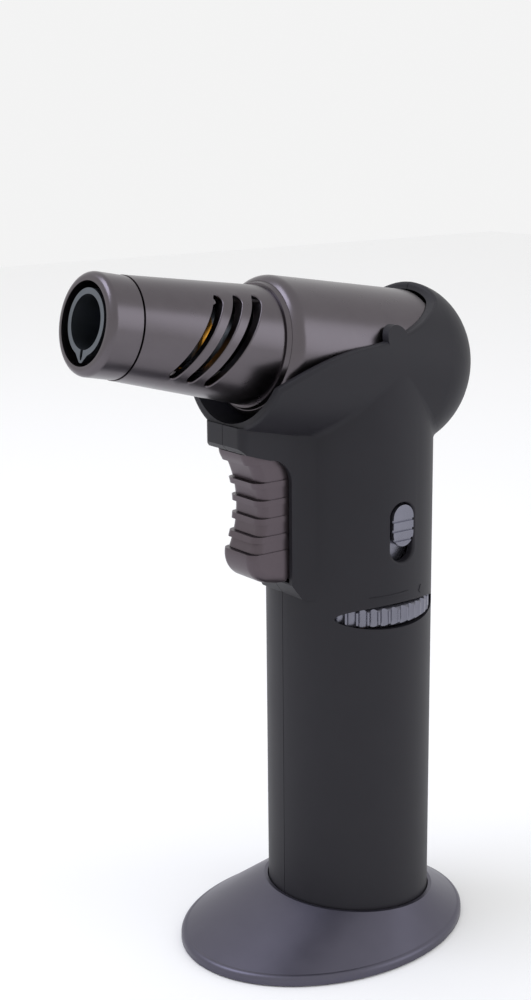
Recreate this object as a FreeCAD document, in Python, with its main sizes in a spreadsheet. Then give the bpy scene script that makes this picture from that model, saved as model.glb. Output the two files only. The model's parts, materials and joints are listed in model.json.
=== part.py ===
import FreeCAD, Part
import math
import os
import Sketcher

# Butane torch, millimetres. +Z is up, the origin is on the grip's axis at the underside of the
# foot, the nozzle points to -X and the controls face -Y.
os.makedirs("parts", exist_ok=True)
doc = FreeCAD.newDocument("ButaneTorch")

SIZES = [
    # grip and its two half shells
    ("column_radius", 20.1),
    ("shell_wall", 2.0),
    ("column_bottom", 4.0),
    ("seam_half_gap", 0.07),
    # nozzle axis
    ("axis_height", 142.42),
    ("nozzle_tilt", 11.394),
    # head bowl, along the nozzle axis
    ("head_radius", 20.15),
    ("head_front_radius", 20.0),
    ("head_taper_start", 4.0),
    ("head_rear", 14.6),
    ("head_cap_depth", 16.0),
    ("head_front", 32.9),
    ("head_blend", 2.0),
    ("lip_round", 0.9),
    ("lip_mouth_height", 134.2),
    ("lip_bend_place", 7.9),
    ("lip_bend_height", 148.3),
    ("lip_rise_place", 15.9),
    ("lip_rise_height", 155.3),
    ("lip_rear_place", 18.2),
    ("lip_rear_height", 159.0),
    ("lip_front_arc", 60.0),
    ("lip_middle_arc", 62.0),
    ("lip_rear_arc", 4.5),
    ("lip_tab_place", 1.0),
    ("lip_tab_height", 149.0),
    ("lip_tab_radius", 3.2),
    # web that carries the trigger
    ("web_half_width", 7.5),
    ("web_blend", 6.0),
    ("web_face", 22.8),
    ("web_corner", 6.0),
    ("block_front", 36.6),
    ("block_bottom", 125.1),
    ("block_top", 131.0),
    ("block_corner", 2.0),
    ("web_foot", 88.6),
    ("web_foot_top", 92.4),
    # trigger
    ("trigger_half_width", 5.9),
    ("trigger_bottom", 93.2),
    ("trigger_top", 124.5),
    ("trigger_front", 33.6),
    ("trigger_waist", 30.0),
    ("trigger_waist_arc", 24.0),
    ("trigger_brow_arc", 3.0),
    ("trigger_chin", 32.4),
    ("trigger_chin_arc", 5.2),
    ("trigger_slope", 12.0),
    ("trigger_corner", 2.2),
    ("trigger_gap", 0.4),
    ("rib_height", 1.4),
    ("rib_proud", 0.95),
    ("rib_pitch", 4.2),
    ("rib_lowest", 103.5),
    ("rib_count", 4),
    ("brow_height", 2.6),
    ("heel_height", 7.7),
    ("rib_line", 0.3),
    ("rib_line_depth", 0.4),
    ("flange_thickness", 1.6),
    ("flange_half_width", 7.4),
    ("flange_over", 1.2),
    # lock slide
    ("lock_slot_width", 6.7),
    ("lock_slot_height", 14.2),
    ("lock_slot_middle", 104.1),
    ("lock_width", 6.0),
    ("lock_height", 9.9),
    ("lock_middle", 105.8),
    ("lock_travel", 3.4),
    ("lock_proud", 0.1),
    ("lock_plate_width", 11.0),
    ("lock_plate_thickness", 1.2),
    ("lock_plate_over", 1.8),
    ("lock_plate_depth", 3.2),
    ("lock_line_pitch", 2.3),
    ("lock_line_drop", 1.1),
    ("lock_line_width", 0.6),
    ("lock_line_depth", 0.45),
    ("lock_slot_round", 0.6),
    # flame adjuster
    ("wheel_middle", 84.25),
    ("wheel_radius", 17.5),
    ("wheel_offset", 3.0),
    ("wheel_thickness", 5.0),
    ("wheel_rim", 3.2),
    ("wheel_web", 1.6),
    ("wheel_hub_radius", 7.0),
    ("wheel_flutes", 42),
    ("flute_radius", 1.15),
    ("flute_depth", 0.75),
    ("wheel_window_half_width", 15.0),
    ("wheel_window_half_height", 3.05),
    ("wheel_gap", 0.3),
    ("wheel_skin", 0.4),
    ("wheel_rim_chamfer", 1.0),
    ("running_gap", 0.05),
    # nozzle
    ("collar_front", 29.7),
    ("collar_front_radius", 16.15),
    ("collar_rear", 13.0),
    ("collar_rear_radius", 18.02),
    ("collar_wall", 1.2),
    ("collar_shoulder", 3.9),
    ("band_width", 1.0),
    ("band_radius", 14.7),
    ("band_step", 0.15),
    ("band_slope", 0.6),
    ("collar_gap", 0.25),
    ("barrel_front", 64.6),
    ("barrel_front_radius", 11.3),
    ("barrel_rear", 20.0),
    ("barrel_rear_radius", 13.55),
    ("barrel_wall", 1.15),
    ("tip_front", 72.8),
    ("tip_radius", 11.15),
    ("tip_bore", 9.06),
    ("tip_spigot", 3.5),
    ("tip_round", 1.6),
    ("slot_width", 2.0),
    ("slot_pitch", 4.85),
    ("slot_lean", 27.2),
    ("slot_top_reach", 8.7),
    ("slot_top_growth", 0.55),
    ("slot_bottom_reach", 7.7),
    ("slot_bottom_growth", 0.4),
    ("slot_front", 50.2),
    ("slot_edge_round", 0.3),
    # burner
    ("burner_radius", 7.2),
    ("burner_wall", 1.3),
    ("burner_rise", 0.4),
    ("burner_front", 72.3),
    ("burner_rear", 42.0),
    ("keel_depth", 8.25),
    ("keel_half_width", 4.4),
    ("keel_top", 4.5),
    ("keel_tip_half_width", 0.45),
    ("keel_floor", 1.2),
    ("keel_rear", 58.0),
    ("keel_slot", 1.0),
    ("grid_front", 62.0),
    ("grid_thickness", 2.0),
    ("grid_hole_radius", 0.75),
    ("nut_radius", 8.2),
    ("nut_rear", 45.6),
    ("nut_length", 2.4),
    ("mixer_wall", 0.8),
    ("mixer_rear", 12.0),
    ("mixer_hole_radius", 1.6),
    ("mixer_hole_place", 20.0),
    ("holder_rear", 8.0),
    ("holder_front", 16.0),
    ("holder_hex", 12.0),
    ("holder_bore", 1.2),
    ("jet_radius", 2.4),
    ("jet_length", 5.0),
    ("jet_bore", 0.4),
    ("bracket_rear", 7.0),
    ("bracket_thickness", 3.0),
    ("insulator_radius", 0.9),
    ("insulator_front", 40.0),
    ("insulator_rear", 9.0),
    ("insulator_drop", 7.3),
    ("electrode_radius", 0.35),
    ("electrode_front", 71.0),
    # gas tank and valves
    ("tank_bottom", 14.0),
    ("tank_top", 73.0),
    ("tank_wall", 1.6),
    ("tank_gap", 0.3),
    ("lid_thickness", 3.0),
    ("lid_skirt", 5.0),
    ("valve_radius", 4.5),
    ("valve_top", 91.5),
    ("stem_radius", 1.4),
    ("stem_length", 24.0),
    ("stem_head_radius", 2.0),
    ("nipple_radius", 1.7),
    ("nipple_length", 4.5),
    ("nipple_height", 89.0),
    ("sleeve_wall", 1.0),
    ("fill_offset", 8.0),
    ("fill_radius", 3.5),
    ("fill_length", 12.0),
    ("fill_stem_radius", 1.5),
    ("port_radius", 5.0),
    ("seal_section", 0.8),
    ("hose_radius", 1.9),
    # foot
    ("foot_half_length", 38.1),
    ("foot_half_width", 30.2),
    ("foot_shift", 8.0),
    ("foot_edge", 2.3),
    ("foot_edge_round", 1.3),
    ("foot_collar_height", 9.5),
    ("foot_collar_slope", 4.35),
    ("foot_collar_gap", 0.3),
    ("foot_wall", 2.4),
    ("foot_rim_lift", 0.3),
    ("pad_thickness", 1.5),
    ("pad_inset", 3.2),
    # fasteners
    ("case_screw_tip", 9.0),
    ("case_boss_radius", 2.4),
    ("case_boss_wide", 3.7),
    ("screw_radius", 1.25),
    ("screw_head_radius", 2.5),
    ("screw_head_height", 1.6),
    ("foot_screw_length", 8.5),
    ("foot_screw_circle", 15.3),
    ("boss_radius", 3.0),
    ("boss_top", 12.5),
    # piezo igniter and lever
    ("piezo_offset", 4.6),
    ("piezo_width", 9.0),
    ("piezo_height", 11.0),
    ("piezo_bottom", 104.0),
    ("piezo_length", 17.0),
    ("piezo_front", 2.5),
    ("piezo_wall", 1.0),
    ("plunger_inside", 2.0),
    ("lever_pivot_x", 4.0),
    ("lever_pivot_z", 97.0),
    ("lever_pin_radius", 1.2),
    ("lever_eye_radius", 2.2),
    ("lever_width", 2.4),
    ("lever_arm", 11.5),
    ("lever_thickness", 1.8),
    ("fork_slot", 1.5),
    ("fork_reach", 1.9),
    ("finger_height", 2.5),
    ("carrier_bottom", 92.0),
]

sheet = doc.addObject("Spreadsheet::Sheet", "dim")
for line, (word, amount) in enumerate(SIZES, start=1):
    sheet.set("A%d" % line, word)
    sheet.set("B%d" % line, str(amount))
    sheet.setAlias("B%d" % line, word)
doc.recompute()

finished = []


def size(word):
    return float(sheet.get(word))


def number(expression):
    return float(sheet.evalExpression(expression))


def bind(item, **expressions):
    for key, expression in expressions.items():
        item.setExpression(key, expression)


def place(item, x=None, y=None, z=None):
    for axis, expression in zip("xyz", (x, y, z)):
        if expression is not None:
            item.setExpression("Placement.Base." + axis, expression)


def primitive(kind, name, x=None, y=None, z=None, **sizes):
    item = doc.addObject("Part::" + kind, name)
    bind(item, **sizes)
    place(item, x, y, z)
    return item


def turn(item, axis, angle):
    item.Placement.Rotation = FreeCAD.Rotation(FreeCAD.Vector(*axis), angle)


def on_nozzle(item, along="0", up="0"):
    """Stand an item's own Z along the nozzle, its own X pointing up and across it."""
    item.Placement.Rotation = FreeCAD.Rotation(FreeCAD.Vector(0, 1, 0), size("nozzle_tilt") - 90.0)
    item.setExpression("Placement.Rotation.Angle", "dim.nozzle_tilt * 1 deg - 90 deg")
    tilt = "dim.nozzle_tilt * 1 deg"
    place(
        item,
        x="-(%s) * cos(%s) + (%s) * sin(%s)" % (along, tilt, up, tilt),
        z="dim.axis_height + (%s) * sin(%s) + (%s) * cos(%s)" % (along, tilt, up, tilt),
    )


def fuse(name, *items):
    item = doc.addObject("Part::MultiFuse", name)
    item.Shapes = list(items)
    return item


def common(name, *items):
    item = doc.addObject("Part::MultiCommon", name)
    item.Shapes = list(items)
    return item


def cut(name, base, *tools):
    item = doc.addObject("Part::Cut", name)
    item.Base = base
    item.Tool = tools[0] if len(tools) == 1 else fuse(name + "_tools", *tools)
    return item


def outline(sketch, corners):
    """Close a chain of sides. A corner is (x, y), or (x, y, radius, side) when an arc starts
    there; side is 1 for an arc that runs anticlockwise and -1 for clockwise."""
    spots = [FreeCAD.Vector(number(c[0]), number(c[1]), 0) for c in corners]
    ends = []
    for i, corner in enumerate(corners):
        first = spots[i]
        last = spots[(i + 1) % len(spots)]
        if len(corner) == 2:
            sketch.addGeometry(Part.LineSegment(first, last))
            ends.append((1, 2))
            continue
        radius = number(corner[2])
        side = corner[3]
        chord = last - first
        sagitta = radius - math.sqrt(radius ** 2 - chord.Length ** 2 / 4)
        outward = FreeCAD.Vector(chord.y, -chord.x, 0).normalize() * side
        middle = (first + last) * 0.5 + outward * sagitta
        sketch.addGeometry(Part.Arc(first, middle, last))
        ends.append((1, 2) if side > 0 else (2, 1))
    for i, corner in enumerate(corners):
        after = (i + 1) % len(corners)
        sketch.addConstraint(Sketcher.Constraint("Coincident", i, ends[i][1], after, ends[after][0]))
        for kind, expression in (("DistanceX", corner[0]), ("DistanceY", corner[1])):
            amount = number(expression)
            index = sketch.addConstraint(Sketcher.Constraint(kind, i, ends[i][0], amount))
            sketch.setExpression("Constraints[%d]" % index, expression)
        if len(corner) == 4:
            index = sketch.addConstraint(Sketcher.Constraint("Radius", i, number(corner[2])))
            sketch.setExpression("Constraints[%d]" % index, corner[2])


def side_sketch(name, corners):
    """A sketch in the XZ plane: its x is X and its y is Z."""
    sketch = doc.addObject("Sketcher::SketchObject", name)
    turn(sketch, (1, 0, 0), 90)
    outline(sketch, corners)
    return sketch


def plan_sketch(name, corners):
    sketch = doc.addObject("Sketcher::SketchObject", name)
    outline(sketch, corners)
    return sketch


def extrude(name, base, along, half_length):
    item = doc.addObject("Part::Extrusion", name)
    item.Base = base
    item.DirMode = "Custom"
    item.Dir = FreeCAD.Vector(*along)
    item.Solid = True
    item.setExpression("LengthFwd", half_length)
    item.setExpression("LengthRev", half_length)
    return item


def origin_plane(body, role):
    return next(f for f in body.Origin.OriginFeatures if f.Role == role)


def body_sketch(body, name, role, corners):
    sketch = body.newObject("Sketcher::SketchObject", name)
    sketch.AttachmentSupport = [(origin_plane(body, role), "")]
    sketch.MapMode = "FlatFace"
    outline(sketch, corners)
    return sketch


def revolved(name, corners):
    """A body turned about its own Z from an outline of (radius, height) corners."""
    body = doc.addObject("PartDesign::Body", name)
    sketch = body_sketch(body, name + "_outline", "XZ_Plane", corners)
    spin = body.newObject("PartDesign::Revolution", name + "_turn")
    spin.Profile = sketch
    spin.ReferenceAxis = (sketch, ["V_Axis"])
    spin.Angle = 360
    doc.recompute()
    return body


def soften(body, name, expression, chosen):
    """Round the body's edges whose bounding box the test accepts."""
    doc.recompute()
    tip = body.Tip
    edges = ["Edge%d" % (i + 1) for i, e in enumerate(tip.Shape.Edges) if chosen(e.BoundBox)]
    rounded = body.newObject("PartDesign::Fillet", name)
    rounded.Base = (tip, edges)
    rounded.setExpression("Radius", expression)
    doc.recompute()
    return rounded


def round_edges(name, base, radius, chosen):
    doc.recompute()
    picked = [i + 1 for i, e in enumerate(base.Shape.Edges) if chosen(e)]
    item = doc.addObject("Part::Fillet", name)
    item.Base = base
    item.Edges = [(index, radius, radius) for index in picked]
    doc.recompute()
    return item


def finish(item, label):
    item.Label = label
    finished.append(item)
    return item


def nozzle_cone(name, rear, front, rear_radius, front_radius):
    item = primitive("Cone", name, Radius1=rear_radius, Radius2=front_radius,
                     Height="(%s) - (%s)" % (front, rear))
    on_nozzle(item, along=rear)
    return item


def nozzle_rod(name, rear, front, radius, up="0"):
    item = primitive("Cylinder", name, Radius=radius, Height="(%s) - (%s)" % (front, rear))
    on_nozzle(item, along=rear, up=up)
    return item


# ---------------------------------------------------------------- half shells
def head_form(name, offset):
    """The bowl about the nozzle axis, made smaller by the offset."""
    straight = nozzle_rod(name + "_straight", "-dim.head_rear", "dim.head_taper_start",
                          "dim.head_radius - " + offset)
    taper = nozzle_cone(name + "_taper", "dim.head_taper_start", "dim.head_front",
                        "dim.head_radius - " + offset, "dim.head_front_radius - " + offset)
    cap = primitive("Ellipsoid", name + "_cap", Radius1="dim.head_cap_depth - " + offset,
                    Radius2="dim.head_radius - " + offset)
    on_nozzle(cap, along="-dim.head_rear")
    return straight, taper, cap


def web_form():
    side = side_sketch("web_side", [
        ("-dim.column_radius + 8", "dim.web_foot - 1.5"),
        ("-dim.column_radius + 8", "dim.block_top"),
        ("-dim.block_front", "dim.block_top"),
        ("-dim.block_front", "dim.block_bottom + 1.2"),
        ("-dim.block_front + 1.4", "dim.block_bottom - 0.2"),
        ("-dim.web_face - dim.web_corner", "dim.block_bottom - 2.2", "dim.web_corner", -1),
        ("-dim.web_face", "dim.block_bottom - 2.2 - dim.web_corner"),
        ("-dim.web_face", "dim.web_foot_top"),
        ("-dim.column_radius + 0.1", "dim.web_foot"),
    ])
    blend_x = "sqrt((dim.column_radius + dim.web_blend) ^ 2 - (dim.web_half_width + dim.web_blend) ^ 2)"
    share = "dim.column_radius / (dim.column_radius + dim.web_blend)"
    touch_x = "-%s * %s" % (blend_x, share)
    touch_y = "(dim.web_half_width + dim.web_blend) * %s" % share
    plan = plan_sketch("web_plan", [
        ("-dim.block_front", "-dim.web_half_width + dim.block_corner", "dim.block_corner", 1),
        ("-dim.block_front + dim.block_corner", "-dim.web_half_width"),
        ("-" + blend_x, "-dim.web_half_width", "dim.web_blend", -1),
        (touch_x, "-" + touch_y),
        (touch_x + " + 3", "-" + touch_y + " + 2"),
        (touch_x + " + 3", touch_y + " - 2"),
        (touch_x, touch_y, "dim.web_blend", -1),
        ("-" + blend_x, "dim.web_half_width"),
        ("-dim.block_front + dim.block_corner", "dim.web_half_width", "dim.block_corner", 1),
        ("-dim.block_front", "dim.web_half_width - dim.block_corner"),
    ])
    return common("web", extrude("web_thick", side, (0, 1, 0), "dim.column_radius"),
                  extrude("web_tall", plan, (0, 0, 1), "2 * dim.axis_height"))


def lip_cutter():
    """Everything above the bowl's rim, from the chin to the top of the head."""
    above = "dim.axis_height + 2 * dim.head_radius"
    ahead = "-2 * dim.head_front"
    side = side_sketch("lip_side", [
        ("-dim.head_front - 11.1", "dim.lip_mouth_height", "dim.lip_front_arc", -1),
        ("-dim.lip_bend_place", "dim.lip_bend_height", "dim.lip_middle_arc", 1),
        ("dim.lip_rise_place", "dim.lip_rise_height", "dim.lip_rear_arc", 1),
        ("dim.lip_rear_place", "dim.lip_rear_height"),
        ("dim.lip_rear_place", above),
        (ahead, above),
        (ahead, "dim.lip_mouth_height"),
    ])
    tab = primitive("Cylinder", "lip_tab", x="-dim.lip_tab_place", y="-2 * dim.column_radius",
                    z="dim.lip_tab_height", Radius="dim.lip_tab_radius", Height="4 * dim.column_radius")
    turn(tab, (1, 0, 0), -90)
    return cut("lip_cutter", extrude("lip_above", side, (0, 1, 0), "2 * dim.column_radius"), tab)


def shell_openings():
    trigger_way = primitive(
        "Box", "trigger_way", x="-dim.block_front - 10", y="-dim.trigger_half_width - dim.trigger_gap - 0.1",
        z="dim.trigger_bottom - dim.trigger_gap", Length="dim.block_front - 4",
        Width="2 * (dim.trigger_half_width + dim.trigger_gap + 0.1)",
        Height="dim.trigger_top - dim.trigger_bottom + 2 * dim.trigger_gap")
    lens = primitive("Ellipse", "wheel_window_edge", MajorRadius="dim.wheel_window_half_width",
                     MinorRadius="dim.wheel_window_half_height")
    turn(lens, (1, 0, 0), 90)
    place(lens, y="-dim.column_radius", z="dim.wheel_middle")
    wheel_window = extrude("wheel_window", lens, (0, 1, 0), "dim.column_radius - 8")
    wheel_room = primitive("Cylinder", "wheel_room", y="-dim.wheel_offset",
                           z="dim.wheel_middle - dim.wheel_thickness / 2 - dim.wheel_gap",
                           Radius="dim.wheel_radius + dim.wheel_gap",
                           Height="dim.wheel_thickness + 2 * dim.wheel_gap")
    under_skin = primitive("Cylinder", "wheel_skin", z="dim.wheel_middle - 10",
                           Radius="dim.column_radius - dim.wheel_skin", Height="20")
    return trigger_way, wheel_window, common("wheel_groove", wheel_room, under_skin), lock_slot()


def stadium(name, width, height, middle, front, depth, grow="0"):
    """An upright slot shape that runs along Y, made of a box between two cylinders."""
    radius = "(%s) / 2 + (%s)" % (width, grow)
    block = primitive("Box", name + "_middle", x="-(%s)" % radius, y=front,
                      z="(%s) - (%s) / 2 + (%s) / 2" % (middle, height, width),
                      Length="2 * (%s)" % radius, Width=depth, Height="(%s) - (%s)" % (height, width))
    ends = []
    for word, sign in (("low", "-"), ("high", "+")):
        end = primitive("Cylinder", name + "_" + word, y=front,
                        z="(%s) %s ((%s) - (%s)) / 2" % (middle, sign, height, width),
                        Radius=radius, Height=depth)
        turn(end, (1, 0, 0), -90)
        ends.append(end)
    return fuse(name, block, *ends)


def lock_slot():
    return stadium("lock_slot", "dim.lock_slot_width", "dim.lock_slot_height", "dim.lock_slot_middle",
                   "-dim.column_radius - 2", "8")


def foot_screw_spots():
    """Four screws on a circle, clear of the seam and of the fill port."""
    return [45, 135, 225, 315]


def screw_boss(name, angle):
    boss = primitive("Cylinder", name, Radius="dim.boss_radius", Height="dim.boss_top - dim.column_bottom",
                     x="dim.foot_screw_circle * cos(%d deg)" % angle,
                     y="dim.foot_screw_circle * sin(%d deg)" % angle, z="dim.column_bottom")
    return boss


def screw_pilot(name, angle):
    return primitive("Cylinder", name, Radius="dim.screw_radius - 0.05",
                     Height="dim.boss_top - dim.column_bottom",
                     x="dim.foot_screw_circle * cos(%d deg)" % angle,
                     y="dim.foot_screw_circle * sin(%d deg)" % angle, z="dim.column_bottom - 1")


CASE_SCREWS = [(9.4, 97.0, 8.0), (4.0, 120.0, 6.0), (23.0, 139.5, 6.0)]


def across(name, spot, start, end, radius):
    """A cylinder that runs along Y at an (x, z) spot."""
    rod = primitive("Cylinder", name, x=str(spot[0]), y=start, z=str(spot[1]),
                    Radius=radius, Height="(%s) - (%s)" % (end, start))
    turn(rod, (1, 0, 0), -90)
    return rod


def case_bosses(form):
    """Bosses across the seam, kept inside the outer skin."""
    rods = []
    for i, spot in enumerate(CASE_SCREWS):
        rods.append(across("case_boss_%d" % i, spot, "-dim.column_radius", "dim.column_radius",
                           "dim.case_boss_radius"))
        rods.append(across("case_boss_wide_%d" % i, spot, str(spot[2]), "dim.column_radius",
                           "dim.case_boss_wide"))
    return common("case_bosses", fuse("case_boss_rods", *rods), form)


def case_holes():
    holes = []
    for i, spot in enumerate(CASE_SCREWS):
        seat = "%s + 2" % spot[2]
        holes.append(across("case_sink_%d" % i, spot, seat, "2 * dim.column_radius",
                            "dim.screw_head_radius + 0.15"))
        holes.append(across("case_clear_%d" % i, spot, "0", "2 * dim.column_radius",
                            "dim.screw_radius + 0.2"))
        holes.append(across("case_pilot_%d" % i, spot, "-dim.case_screw_tip - 1", "0.5",
                            "dim.screw_radius - 0.05"))
    return holes


def make_case_screws():
    screws = []
    for i, spot in enumerate(CASE_SCREWS):
        seat = "%s + 2" % spot[2]
        screws.append(across("case_head_%d" % i, spot, seat, seat + " + dim.screw_head_height",
                             "dim.screw_head_radius"))
        screws.append(across("case_shank_%d" % i, spot, "-dim.case_screw_tip", seat + " + 0.5",
                             "dim.screw_radius - 0.1"))
    finish(fuse("case_screws", *screws), "case_screws")


def make_shells():
    column = primitive("Cylinder", "column_form", z="dim.column_bottom", Radius="dim.column_radius",
                       Height="dim.axis_height - dim.column_bottom")
    outside = fuse("shell_outside", column, *head_form("head_outside", "0"))
    doc.recompute()
    blended = round_edges("shell_blended", outside, size("head_blend"), crease)
    with_web = fuse("shell_with_web", blended, web_form())
    column_room = primitive("Cylinder", "column_room", z="dim.column_bottom - 1",
                            Radius="dim.column_radius - dim.shell_wall",
                            Height="dim.axis_height - dim.column_bottom + 1")
    head_room = nozzle_cone("head_room", "-dim.head_rear", "dim.head_front + 1",
                            "dim.collar_rear_radius + dim.collar_gap",
                            "dim.head_front_radius - dim.shell_wall")
    rear_room = primitive("Ellipsoid", "rear_room", Radius1="dim.head_cap_depth - dim.shell_wall",
                          Radius2="dim.collar_rear_radius + dim.collar_gap")
    on_nozzle(rear_room, along="-dim.head_rear")
    hollow = cut("shell_hollow", with_web, column_room, head_room, rear_room)
    sharp = cut("shell_sharp", hollow, lip_cutter())
    lipped = round_edges("shell_lipped", sharp, size("lip_round"), lip_rim)
    bosses = [case_bosses(with_web)]
    pilots = case_holes()
    for angle in foot_screw_spots():
        bosses.append(screw_boss("shell_boss_%d" % angle, angle))
        pilots.append(screw_pilot("shell_pilot_%d" % angle, angle))
    bossed = fuse("shell_bossed", lipped, *bosses)
    pierced = cut("shell_pierced", bossed, *(list(shell_openings()) + pilots))
    opened = round_edges("shell_opened", pierced, size("lock_slot_round"), lock_slot_rim)
    for label, sign in (("body_shell_left", "-"), ("body_shell_right", "+")):
        start = "dim.seam_half_gap" if sign == "+" else "-dim.seam_half_gap - 3 * dim.column_radius"
        half = primitive("Box", label + "_half", x="-3 * dim.column_radius", y=start,
                         Length="6 * dim.column_radius", Width="3 * dim.column_radius",
                         Height="2 * dim.axis_height")
        finish(common(label, opened, half), label)


def crease(edge):
    """Edges where the grip runs into the bowl, below the nozzle axis."""
    box = edge.BoundBox
    return box.ZMax < size("axis_height") and box.ZMin > 110 and box.YLength > 10


def nozzle_distance(point):
    """How far a point is from the nozzle's axis."""
    tilt = math.radians(size("nozzle_tilt"))
    rise = (point.z - size("axis_height")) * math.cos(tilt) + point.x * math.sin(tilt)
    return math.hypot(rise, point.y)


def edge_middle(edge):
    return edge.valueAt((edge.FirstParameter + edge.LastParameter) / 2)


def nozzle_reach(point):
    """How far along the nozzle's axis a point is, from the grip's own axis."""
    tilt = math.radians(size("nozzle_tilt"))
    return (point.z - size("axis_height")) * math.sin(tilt) - point.x * math.cos(tilt)


def lip_rim(edge):
    """The bowl's outer rim where the lip is cut, and the chin's outer edge, but not round the tabs."""
    if edge.Degenerated:
        return False
    middle = edge_middle(edge)
    if nozzle_distance(middle) < size("head_radius") - size("shell_wall") / 2:
        return False
    on_cut = edge.Curve.TypeId in ("Part::GeomBSplineCurve", "Part::GeomEllipse")
    tab_distance = math.hypot(middle.x + size("lip_tab_place"), middle.z - size("lip_tab_height"))
    off_tab = tab_distance > size("lip_tab_radius") + 0.3
    on_lip = on_cut and off_tab and middle.z > size("lip_mouth_height") + 6
    on_chin = not on_cut and edge.Length > 5 and abs(nozzle_reach(middle) - size("head_front")) < 0.05
    return on_lip or on_chin


def lock_slot_rim(edge):
    """The slot's outer edge, on the grip's skin."""
    middle = edge_middle(edge)
    near = abs(middle.z - size("lock_slot_middle")) < size("lock_slot_height")
    on_skin = abs(math.hypot(middle.x, middle.y) - size("column_radius")) < 0.05
    return near and on_skin and middle.y < 0 and abs(middle.x) < size("lock_slot_width")


# ---------------------------------------------------------------- nozzle
def ring_edge(radius, height, slack=0.05):
    """A test for a circular edge about Z with this radius at this height."""
    def chosen(box):
        return (abs(box.XLength - 2 * radius) < slack and abs(box.ZMin - height) < slack
                and abs(box.ZMax - height) < slack)
    return chosen


def make_collar():
    slope = "(dim.collar_rear_radius - dim.collar_front_radius) / (dim.collar_front + dim.collar_rear)"
    shoulder_growth = slope + " * dim.collar_shoulder"
    length = "dim.collar_shoulder - dim.band_width"
    drop = "dim.collar_front_radius + %s - dim.band_radius" % shoulder_growth
    body = revolved("collar", [
        ("dim.collar_rear_radius - dim.collar_wall", "-dim.collar_rear"),
        ("dim.collar_rear_radius", "-dim.collar_rear"),
        ("dim.collar_front_radius + " + shoulder_growth, "dim.collar_front - dim.collar_shoulder",
         "(({0}) ^ 2 + ({1}) ^ 2) / (2 * ({1}))".format(length, drop), 1),
        ("dim.band_radius", "dim.collar_front - dim.band_width"),
        ("dim.band_radius - dim.band_step", "dim.collar_front - dim.band_width"),
        ("dim.band_radius - dim.band_slope", "dim.collar_front"),
        ("dim.barrel_rear_radius - dim.barrel_wall + 0.1", "dim.collar_front"),
        ("dim.barrel_rear_radius - dim.barrel_wall + 0.1", "dim.collar_front - dim.collar_wall"),
        ("dim.collar_front_radius - dim.collar_wall + " + shoulder_growth,
         "dim.collar_front - dim.collar_wall - dim.collar_shoulder"),
    ])
    soften(body, "collar_rear_round", "dim.collar_wall * 0.4",
           ring_edge(size("collar_rear_radius"), -size("collar_rear")))
    on_nozzle(body)
    finish(body, "collar")


def barrel_radius(place_along):
    """The barrel's outer radius at a distance along the nozzle."""
    return ("(dim.barrel_rear_radius + (dim.barrel_front_radius - dim.barrel_rear_radius)"
            " * ((%s) - dim.collar_front) / (dim.barrel_front - dim.collar_front))" % place_along)


def vent_slot(index):
    """A straight slot, seen from the side, that leans back towards the top."""
    lean = "dim.slot_lean * 1 deg"
    middle = "(dim.slot_front - %d * dim.slot_pitch)" % index
    up = "(dim.slot_top_reach + %d * dim.slot_top_growth) / cos(%s)" % (index, lean)
    down = "(dim.slot_bottom_reach + %d * dim.slot_bottom_growth) / cos(%s)" % (index, lean)
    pieces = []
    box = doc.addObject("Part::Box", "slot_bar_%d" % index)
    bind(box, Length="(%s) + (%s)" % (up, down), Width="4 * dim.barrel_rear_radius", Height="dim.slot_width")
    pieces.append((box, "-(%s)" % down, "-dim.slot_width / 2"))
    for word, far in (("top", up), ("low", "-(%s)" % down)):
        end = doc.addObject("Part::Cylinder", "slot_%s_%d" % (word, index))
        bind(end, Radius="dim.slot_width / 2", Height="4 * dim.barrel_rear_radius")
        pieces.append((end, far, "0"))
    nozzle = FreeCAD.Rotation(FreeCAD.Vector(0, 1, 0), size("nozzle_tilt") - 90.0)
    slant = FreeCAD.Rotation(FreeCAD.Vector(0, 1, 0), size("slot_lean"))
    tilt = "(dim.nozzle_tilt * 1 deg)"
    for item, far, drop in pieces:
        along = "%s - (%s) * sin(%s) + (%s) * cos(%s)" % (middle, far, lean, drop, lean)
        rise = "(%s) * cos(%s) + (%s) * sin(%s)" % (far, lean, drop, lean)
        aim = nozzle * slant
        if item.TypeId == "Part::Cylinder":
            aim = aim * FreeCAD.Rotation(FreeCAD.Vector(1, 0, 0), -90)
        item.Placement.Rotation = aim
        place(item, x="-(%s) * cos(%s) + (%s) * sin(%s)" % (along, tilt, rise, tilt),
              y="-2 * dim.barrel_rear_radius",
              z="dim.axis_height + (%s) * sin(%s) + (%s) * cos(%s)" % (along, tilt, rise, tilt))
    return fuse("vent_slot_%d" % index, *[item for item, far, drop in pieces])


def make_barrel():
    neck = "dim.barrel_rear_radius - dim.barrel_wall + 0.05"
    body = revolved("barrel_turned", [
        (neck + " - dim.barrel_wall", "dim.barrel_rear"),
        (neck, "dim.barrel_rear"),
        (neck, "dim.collar_front + dim.running_gap"),
        ("dim.barrel_rear_radius", "dim.collar_front + dim.running_gap"),
        ("dim.barrel_front_radius", "dim.barrel_front"),
        ("dim.barrel_front_radius - dim.barrel_wall", "dim.barrel_front"),
        ("dim.barrel_front_radius - dim.barrel_wall", "dim.barrel_front - dim.tip_spigot - 1"),
    ])
    on_nozzle(body)
    slots = [vent_slot(i) for i in range(3)]
    slotted = cut("barrel_slotted", body, *slots)
    finish(round_edges("barrel", slotted, size("slot_edge_round"), slot_rim), "barrel")


def slot_rim(edge):
    """The outer edges of the vent slots, which are the barrel's only open outer edges."""
    outside = nozzle_distance(edge_middle(edge)) > size("barrel_front_radius") - 0.05
    return outside and not edge.isClosed() and edge.Curve.TypeId != "Part::GeomLine"


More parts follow.
